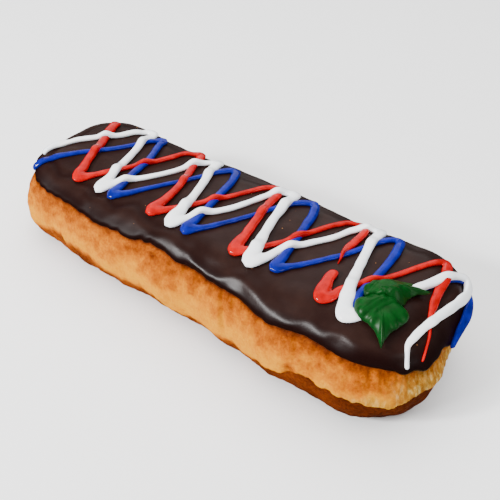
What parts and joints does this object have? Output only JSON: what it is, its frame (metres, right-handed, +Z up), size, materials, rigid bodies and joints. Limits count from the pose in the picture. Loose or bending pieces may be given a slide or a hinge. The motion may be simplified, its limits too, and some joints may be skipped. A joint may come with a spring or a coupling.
{
  "type": "iced long john doughnut",
  "caption": "Long bar doughnut with rounded ends, a chocolate icing cap, crossing piped icing zigzags and two piped leaves at one end.",
  "frame": {"origin": "centre of the bar's flat foot, on the surface that it rests on", "axes": "+X along the bar towards the end with the leaves, +Y towards the long side that the picture hides, +Z up"},
  "size_m": [0.1723, 0.0615, 0.0398],
  "materials": {
    "dough": "fried yeast dough, golden brown and matt",
    "icing": "set chocolate icing, satin, with glossy piped lines",
    "leaf": "piped green icing, glossy"
  },
  "bodies": {
    "root": {"dough": "dough", "icing": "icing", "leaf_front": "leaf", "leaf_back": "leaf"}
  },
  "joints": []
}
